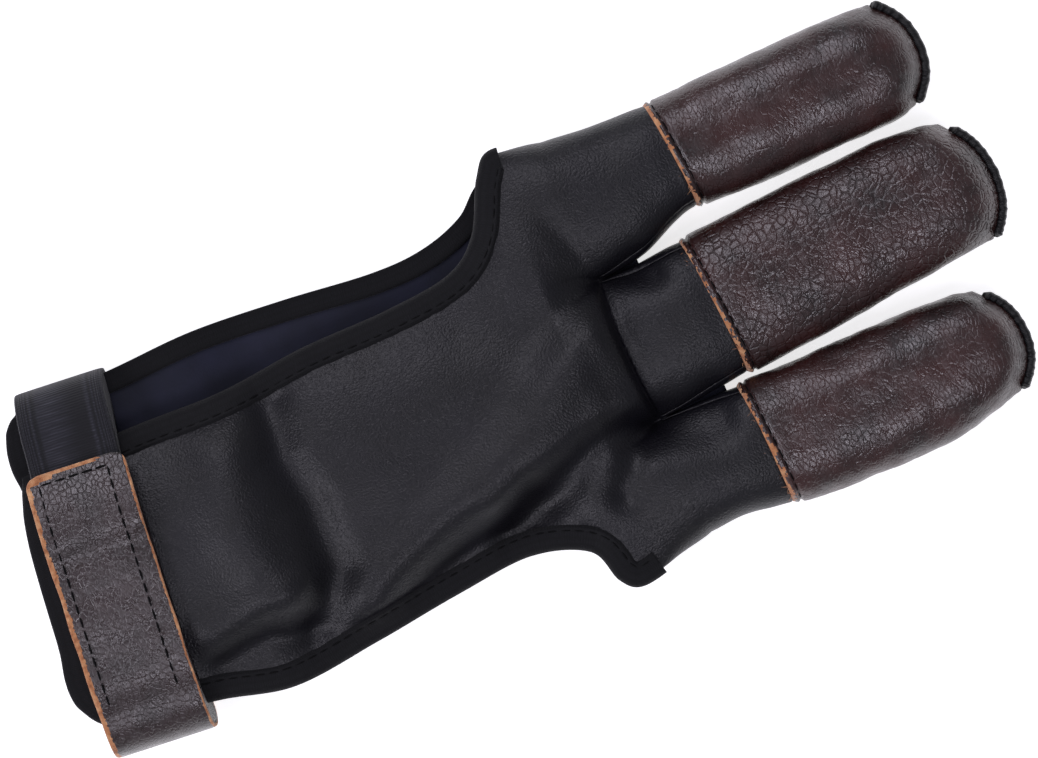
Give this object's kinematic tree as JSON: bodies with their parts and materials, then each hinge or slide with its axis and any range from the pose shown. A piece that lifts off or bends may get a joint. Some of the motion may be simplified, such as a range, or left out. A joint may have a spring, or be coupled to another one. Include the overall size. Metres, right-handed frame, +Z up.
{
  "type": "archery glove",
  "caption": "Archery glove with brown leather fingertips on a black synthetic hand part, bound open sides at thumb and little finger, and an elastic and leather wrist strap",
  "frame": {"origin": "middle of the underside of the bounding box, on the surface the glove lies on", "axes": "+X towards the fingertips, +Y towards the thumb side, +Z up, away from the surface, on the side of the string leather"},
  "size_m": [0.226, 0.098, 0.0249],
  "materials": {
    "black_synthetic": "fine-grained black synthetic leather with a satin gloss",
    "brown_leather": "dark brown full-grain leather, creased and half gloss, with raw tan edges",
    "knit_tape": "matt black knitted binding tape",
    "woven_elastic": "matt black woven elastic with lengthwise ribs",
    "edge_cord": "black thread binding sewn over the fingertip edges"
  },
  "bodies": {
    "root": {"palm_panel": "black_synthetic", "back_panel": "black_synthetic", "middle_front_panel": "black_synthetic", "gusset_index_middle": "black_synthetic", "gusset_middle_ring": "black_synthetic", "index_tip": "brown_leather", "index_tip_binding": "edge_cord", "middle_tip": "brown_leather", "middle_tip_binding": "edge_cord", "ring_tip": "brown_leather", "ring_tip_binding": "edge_cord", "front_thumb_binding": "knit_tape", "front_little_binding": "knit_tape", "back_thumb_binding": "knit_tape", "back_little_binding": "knit_tape", "front_wrist_binding": "knit_tape", "back_wrist_binding": "knit_tape", "leather_strap": "brown_leather", "elastic_band": "woven_elastic"}
  },
  "joints": []
}
